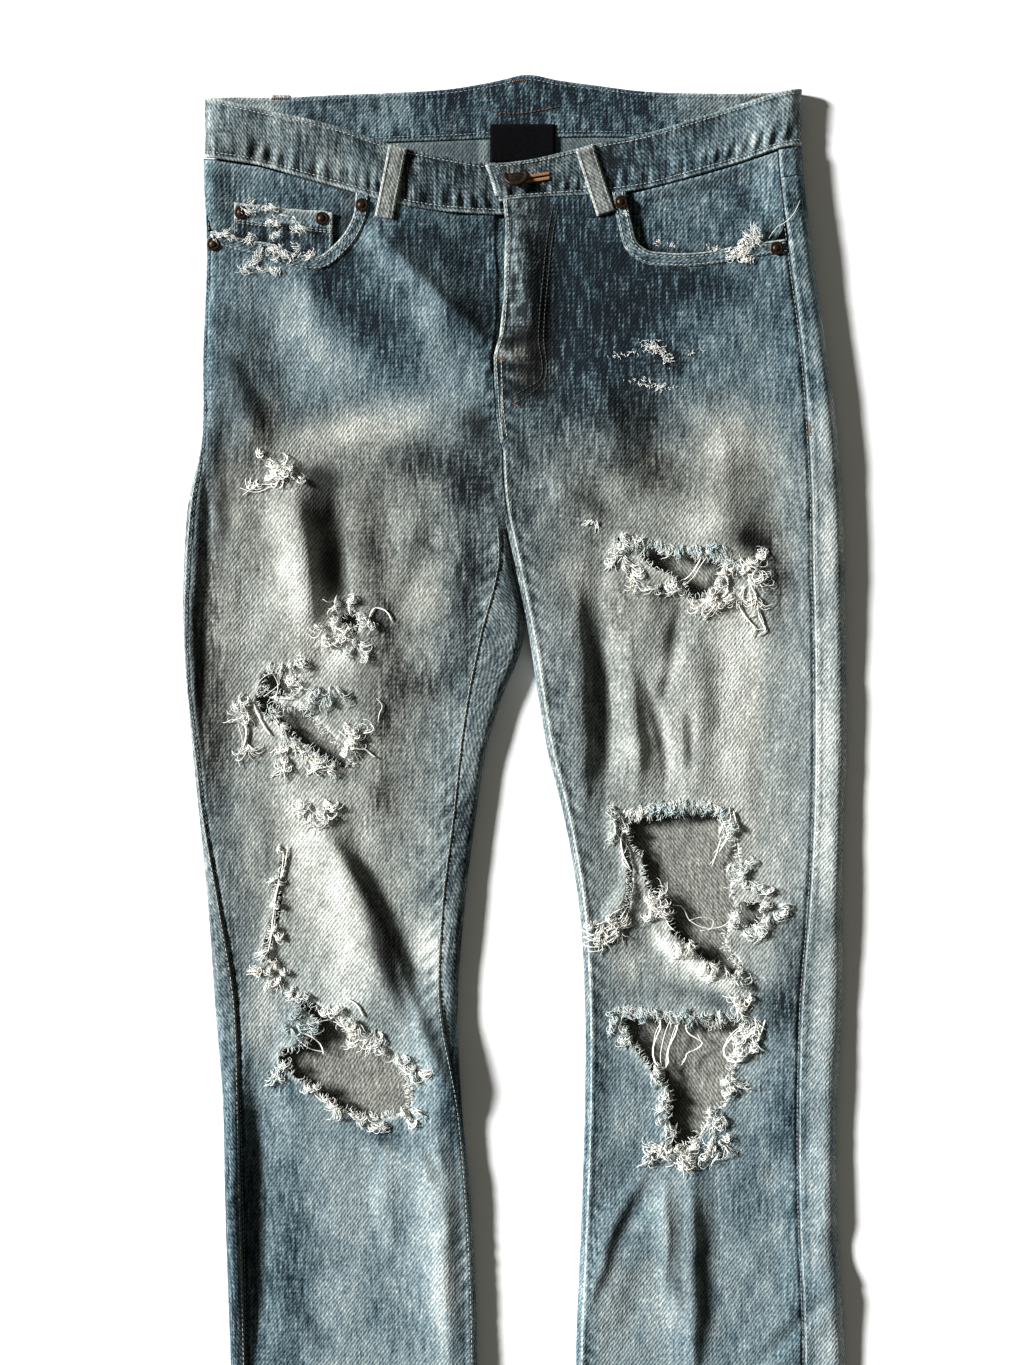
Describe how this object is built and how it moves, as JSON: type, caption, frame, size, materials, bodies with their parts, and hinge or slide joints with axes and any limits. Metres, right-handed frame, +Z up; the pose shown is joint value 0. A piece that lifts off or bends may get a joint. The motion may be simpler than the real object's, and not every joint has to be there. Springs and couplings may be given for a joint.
{
  "type": "ripped jeans",
  "caption": "Faded denim jeans laid flat on their back, front up, with a metal button, belt loops, pockets and large frayed rips at the thighs and knees.",
  "frame": {"origin": "middle of the laid garment's outline, on the surface it lies on; it falls between the two legs, just below the crotch", "axes": "+X to the wearer's left, +Y up the garment to the waist, +Z up from the surface"},
  "size_m": [0.4654, 1.081, 0.0183],
  "materials": {
    "denim": "washed indigo twill, faded to warm grey on the thighs, bluer at the hips, seams and edges",
    "pocket_denim": "bluer, less faded twill inside the pocket mouths and behind the fly",
    "frayed_cotton": "loose white and pale cotton threads round the rips",
    "antique_metal": "dark brown antique finish, worn paler on the rims",
    "label_cloth": "matt black woven label, left bare"
  },
  "bodies": {
    "root": {"front_right": "denim", "front_left": "denim", "back_right": "denim", "back_left": "denim", "yoke_right": "denim", "yoke_left": "denim", "waistband": "denim", "fly_shield": "pocket_denim", "pocket_facing_right": "pocket_denim", "pocket_facing_left": "pocket_denim", "coin_pocket": "pocket_denim", "back_pocket_right": "denim", "back_pocket_left": "denim", "belt_loop_front_right": "denim", "belt_loop_front_left": "denim", "belt_loop_back_right": "denim", "belt_loop_back_centre": "denim", "belt_loop_back_left": "denim", "hem_right": "denim", "hem_left": "denim", "label": "label_cloth", "waist_button": "antique_metal", "rivet_1": "antique_metal", "rivet_2": "antique_metal", "rivet_3": "antique_metal", "rivet_4": "antique_metal", "rivet_5": "antique_metal", "rivet_6": "antique_metal", "fray_hip_right": "frayed_cotton", "fray_curl_right": "frayed_cotton", "fray_thigh_right": "frayed_cotton", "fray_shin_right": "frayed_cotton", "fray_knee_right": "frayed_cotton", "fray_thigh_left": "frayed_cotton", "fray_knee_left": "frayed_cotton", "fray_shin_left": "frayed_cotton"}
  },
  "joints": []
}
